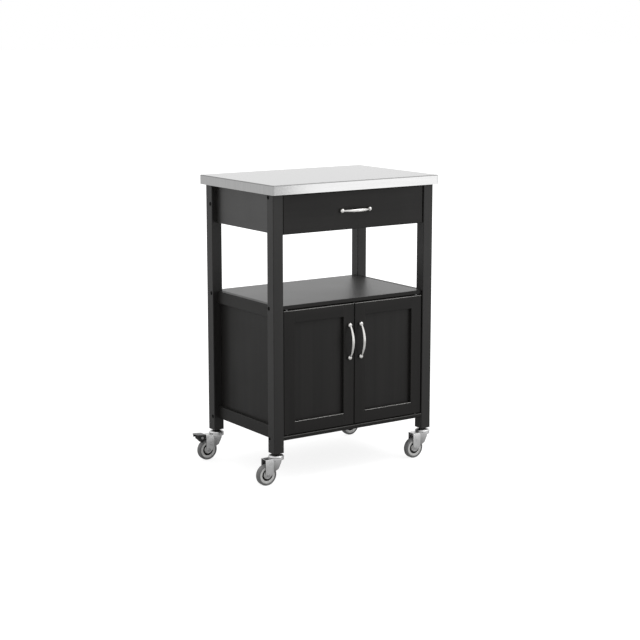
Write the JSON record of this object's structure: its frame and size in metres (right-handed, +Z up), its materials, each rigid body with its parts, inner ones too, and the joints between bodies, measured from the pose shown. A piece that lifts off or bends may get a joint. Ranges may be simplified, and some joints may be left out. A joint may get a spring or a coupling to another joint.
{
  "type": "kitchen cart",
  "caption": "Rolling kitchen cart with a steel worktop, an inset drawer, an open bay and a cupboard with framed doors, on swivel casters with brakes at the back.",
  "frame": {"origin": "on the floor, under the middle of the four legs", "axes": "+Z up, +X to the right seen from the front, +Y to the back; doors and drawer face -Y"},
  "size_m": [0.6335, 0.4085, 0.857],
  "materials": {
    "worktop_steel": "brushed",
    "core_board": "raw board",
    "black_wood": "satin black lacquer",
    "drawer_board": "matt black",
    "runner_steel": "zinc plated",
    "glide_nylon": "moulded",
    "bolt_black": "black oxide",
    "catch_plastic": "moulded",
    "hinge_steel": "zinc plated",
    "handle_nickel": "satin nickel",
    "caster_zinc": "bright zinc plated",
    "collar_plastic": "moulded",
    "wheel_plastic": "moulded",
    "tyre_rubber": "grey rubber",
    "brake_black": "moulded"
  },
  "bodies": {
    "frame": {"worktop_skin": "worktop_steel", "worktop_core": "core_board", "apron_back": "black_wood", "front_stretcher": "black_wood", "middle_shelf": "black_wood", "base_board": "black_wood", "back_panel": "black_wood", "drawer_runners": "runner_steel", "runner_glides": "glide_nylon", "frame_bolts": "bolt_black", "door_catches": "catch_plastic", "door_bushes": "hinge_steel", "caster_stems": "caster_zinc", "stem_collars": "collar_plastic", "swivel_bearings": "caster_zinc", "apron_left": "black_wood", "side_rails_left": "black_wood", "side_panel_left": "black_wood", "apron_right": "black_wood", "side_rails_right": "black_wood", "side_panel_right": "black_wood", "leg_front_left": "black_wood", "leg_front_right": "black_wood", "leg_back_left": "black_wood", "leg_back_right": "black_wood"},
    "drawer": {"drawer_front": "black_wood", "drawer_sides": "drawer_board", "drawer_back": "drawer_board", "drawer_bottom": "drawer_board", "drawer_handle": "handle_nickel", "drawer_rails": "runner_steel", "drawer_glides": "glide_nylon"},
    "door_left": {"door_stiles_left": "black_wood", "door_rails_left": "black_wood", "door_panel_left": "black_wood", "door_handle_left": "handle_nickel", "door_fittings_left": "hinge_steel"},
    "door_right": {"door_stiles_right": "black_wood", "door_rails_right": "black_wood", "door_panel_right": "black_wood", "door_handle_right": "handle_nickel", "door_fittings_right": "hinge_steel"},
    "caster_front_left": {"caster_fork_front_left": "caster_zinc", "caster_pins_front_left": "caster_zinc"},
    "wheel_front_left": {"caster_wheel_front_left": "wheel_plastic", "caster_tyre_front_left": "tyre_rubber"},
    "caster_front_right": {"caster_fork_front_right": "caster_zinc", "caster_pins_front_right": "caster_zinc"},
    "wheel_front_right": {"caster_wheel_front_right": "wheel_plastic", "caster_tyre_front_right": "tyre_rubber"},
    "caster_back_left": {"caster_fork_back_left": "caster_zinc", "caster_pins_back_left": "caster_zinc"},
    "wheel_back_left": {"caster_wheel_back_left": "wheel_plastic", "caster_tyre_back_left": "tyre_rubber"},
    "brake_back_left": {"brake_pedal_back_left": "brake_black"},
    "caster_back_right": {"caster_fork_back_right": "caster_zinc", "caster_pins_back_right": "caster_zinc"},
    "wheel_back_right": {"caster_wheel_back_right": "wheel_plastic", "caster_tyre_back_right": "tyre_rubber"},
    "brake_back_right": {"brake_pedal_back_right": "brake_black"}
  },
  "joints": [
    {"name": "drawer_slide", "type": "slide", "parent": "frame", "child": "drawer", "axis": [0, -1, 0], "range_m": [0, 0.22]},
    {"name": "door_left_hinge", "type": "hinge", "parent": "frame", "child": "door_left", "pos_m": [-0.2295, -0.171, 0.32], "axis": [0, 0, -1], "range_deg": [0, 105]},
    {"name": "door_right_hinge", "type": "hinge", "parent": "frame", "child": "door_right", "pos_m": [0.2295, -0.171, 0.32], "axis": [0, 0, 1], "range_deg": [0, 105]},
    {"name": "swivel_front_left", "type": "hinge", "parent": "frame", "child": "caster_front_left", "pos_m": [-0.2635, -0.1665, 0.077], "axis": [0, 0, 1], "continuous": true},
    {"name": "wheel_front_left_spin", "type": "hinge", "parent": "caster_front_left", "child": "wheel_front_left", "pos_m": [-0.2975, -0.1665, 0.031], "axis": [0, 1, 0], "continuous": true},
    {"name": "swivel_front_right", "type": "hinge", "parent": "frame", "child": "caster_front_right", "pos_m": [0.2635, -0.1665, 0.077], "axis": [0, 0, 1], "continuous": true},
    {"name": "wheel_front_right_spin", "type": "hinge", "parent": "caster_front_right", "child": "wheel_front_right", "pos_m": [0.2295, -0.1665, 0.031], "axis": [0, 1, 0], "continuous": true},
    {"name": "swivel_back_left", "type": "hinge", "parent": "frame", "child": "caster_back_left", "pos_m": [-0.2635, 0.1665, 0.077], "axis": [0, 0, 1], "continuous": true},
    {"name": "wheel_back_left_spin", "type": "hinge", "parent": "caster_back_left", "child": "wheel_back_left", "pos_m": [-0.2975, 0.1665, 0.031], "axis": [0, 1, 0], "continuous": true},
    {"name": "brake_back_left_press", "type": "hinge", "parent": "caster_back_left", "child": "brake_back_left", "pos_m": [-0.32202, 0.1665, 0.07296], "axis": [0, -1, 0], "range_deg": [0, 11]},
    {"name": "swivel_back_right", "type": "hinge", "parent": "frame", "child": "caster_back_right", "pos_m": [0.2635, 0.1665, 0.077], "axis": [0, 0, 1], "continuous": true},
    {"name": "wheel_back_right_spin", "type": "hinge", "parent": "caster_back_right", "child": "wheel_back_right", "pos_m": [0.2295, 0.1665, 0.031], "axis": [0, 1, 0], "continuous": true},
    {"name": "brake_back_right_press", "type": "hinge", "parent": "caster_back_right", "child": "brake_back_right", "pos_m": [0.20498, 0.1665, 0.07296], "axis": [0, -1, 0], "range_deg": [0, 11]}
  ]
}
